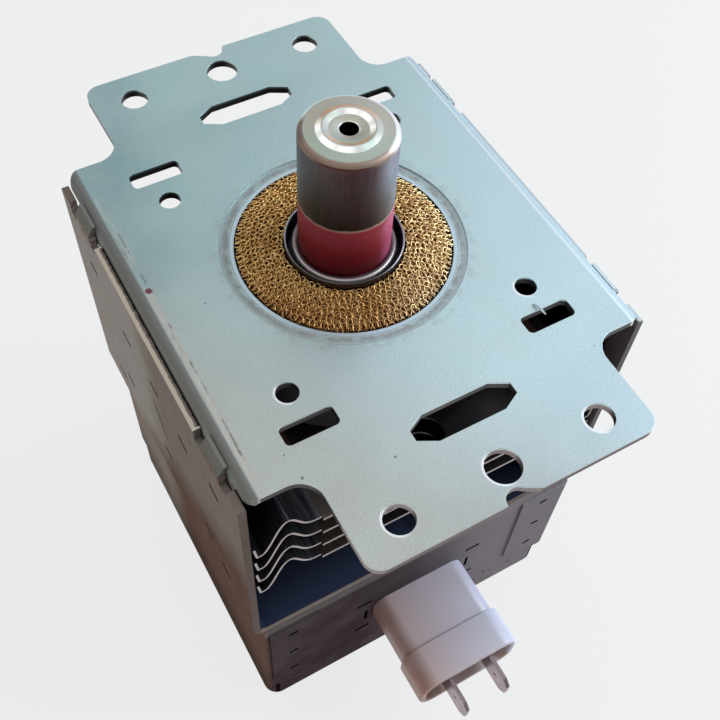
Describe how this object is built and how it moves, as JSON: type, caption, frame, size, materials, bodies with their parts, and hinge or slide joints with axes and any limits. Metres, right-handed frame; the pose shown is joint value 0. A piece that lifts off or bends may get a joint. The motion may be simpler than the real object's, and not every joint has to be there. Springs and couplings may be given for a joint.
{
  "type": "magnetron",
  "caption": "Air-cooled magnetron: capped ceramic antenna, mesh gasket, tabbed mounting plate, wave-edged cooling fins in a yoke, and a filter box with blade terminals.",
  "frame": {"origin": "antenna axis at the top face of the mounting plate, the centre of its bolt holes", "axes": "+Z out along the antenna, -Y towards the blade terminals, X across the two yoke walls"},
  "size_m": [0.073, 0.1168, 0.1207],
  "materials": {
    "plate_zinc": "satin",
    "yoke_steel": "satin",
    "fin_aluminium": "satin",
    "ferrite": "matte",
    "copper": "satin",
    "pole_steel": "satin",
    "seal_steel": "satin",
    "antenna_ceramic": "satin",
    "cap_steel": "satin",
    "mesh_brass": "satin",
    "cup_steel": "satin",
    "tungsten": "matte",
    "stem_ceramic": "matte",
    "box_steel": "satin",
    "rivet_steel": "satin",
    "capacitor_resin": "gloss",
    "terminal_tin": "satin",
    "choke_wire": "gloss"
  },
  "bodies": {
    "root": {"mounting_plate": "plate_zinc", "yoke": "yoke_steel", "upper_magnet": "ferrite", "lower_magnet": "ferrite", "anode_shell": "copper", "upper_pole": "pole_steel", "lower_pole": "pole_steel", "output_seal": "seal_steel", "stem_seal": "seal_steel", "antenna_ceramic": "antenna_ceramic", "antenna_lead": "copper", "exhaust_tube": "copper", "antenna_cap": "cap_steel", "rf_gasket": "mesh_brass", "gasket_cup": "cup_steel", "filament": "tungsten", "upper_end_hat": "tungsten", "lower_end_hat": "tungsten", "center_lead": "tungsten", "side_lead": "tungsten", "stem_ceramic": "stem_ceramic", "filter_box": "box_steel", "filter_lid": "box_steel", "box_rivets": "rivet_steel", "capacitor_body": "capacitor_resin", "capacitor_flange": "rivet_steel", "left_terminal": "terminal_tin", "right_terminal": "terminal_tin", "left_choke_core": "ferrite", "right_choke_core": "ferrite", "left_choke_coil": "choke_wire", "right_choke_coil": "choke_wire", "upper_inner_strap": "copper", "upper_outer_strap": "copper", "lower_inner_strap": "copper", "lower_outer_strap": "copper", "vane_1": "copper", "vane_2": "copper", "vane_3": "copper", "vane_4": "copper", "vane_5": "copper", "vane_6": "copper", "vane_7": "copper", "vane_8": "copper", "vane_9": "copper", "vane_10": "copper", "fin_1": "fin_aluminium", "fin_2": "fin_aluminium", "fin_3": "fin_aluminium", "fin_4": "fin_aluminium"}
  },
  "joints": []
}
